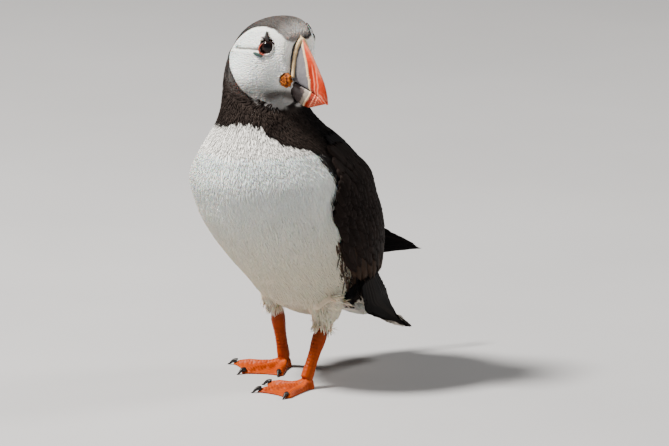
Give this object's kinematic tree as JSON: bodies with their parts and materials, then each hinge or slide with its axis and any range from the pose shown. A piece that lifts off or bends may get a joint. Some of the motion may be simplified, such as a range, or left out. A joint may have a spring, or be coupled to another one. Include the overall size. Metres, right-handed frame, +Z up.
{
  "type": "atlantic puffin, standing",
  "caption": "Life-size still model of an Atlantic puffin standing on two webbed feet, head turned to its left, with a deep banded bill, folded wings and a short tail",
  "frame": {"origin": "on the floor, under the middle of the model's bounding box", "axes": "+Z up, the breast faces -Y, the bird's left side is +X"},
  "size_m": [0.1024, 0.1808, 0.2154],
  "materials": {
    "plumage": "soft overlapping feathers, white below and black above",
    "flight_feather": "stiff brown-black feather vanes, slight sheen",
    "leg_skin": "scaled orange skin, satin",
    "claw_horn": "dark horn, worn",
    "bill_horn": "grooved horn, orange-red with a grey base and cream bands",
    "bill_ridge": "pale yellow pitted skin",
    "rosette_skin": "wrinkled orange-yellow skin",
    "eye": "wet glossy dark brown",
    "eye_ring": "red-orange bare skin",
    "eye_plate": "blue-grey horn"
  },
  "bodies": {
    "root": {"head": "plumage", "neck": "plumage", "trunk": "plumage", "wing_left": "plumage", "wing_right": "plumage", "thigh_left": "plumage", "thigh_right": "plumage", "tail": "flight_feather", "primaries_left": "flight_feather", "primaries_right": "flight_feather", "tarsus_left": "leg_skin", "tarsus_right": "leg_skin", "foot_left": "leg_skin", "foot_right": "leg_skin", "claw_left_inner": "claw_horn", "claw_left_middle": "claw_horn", "claw_left_outer": "claw_horn", "claw_right_inner": "claw_horn", "claw_right_middle": "claw_horn", "claw_right_outer": "claw_horn", "bill_upper": "bill_horn", "bill_lower": "bill_horn", "bill_ridge": "bill_ridge", "rosette_left": "rosette_skin", "rosette_right": "rosette_skin", "eye_left": "eye", "eye_right": "eye", "eye_ring_left": "eye_ring", "eye_ring_right": "eye_ring", "eye_plate_upper_left": "eye_plate", "eye_plate_upper_right": "eye_plate", "eye_plate_lower_left": "eye_plate", "eye_plate_lower_right": "eye_plate"}
  },
  "joints": []
}
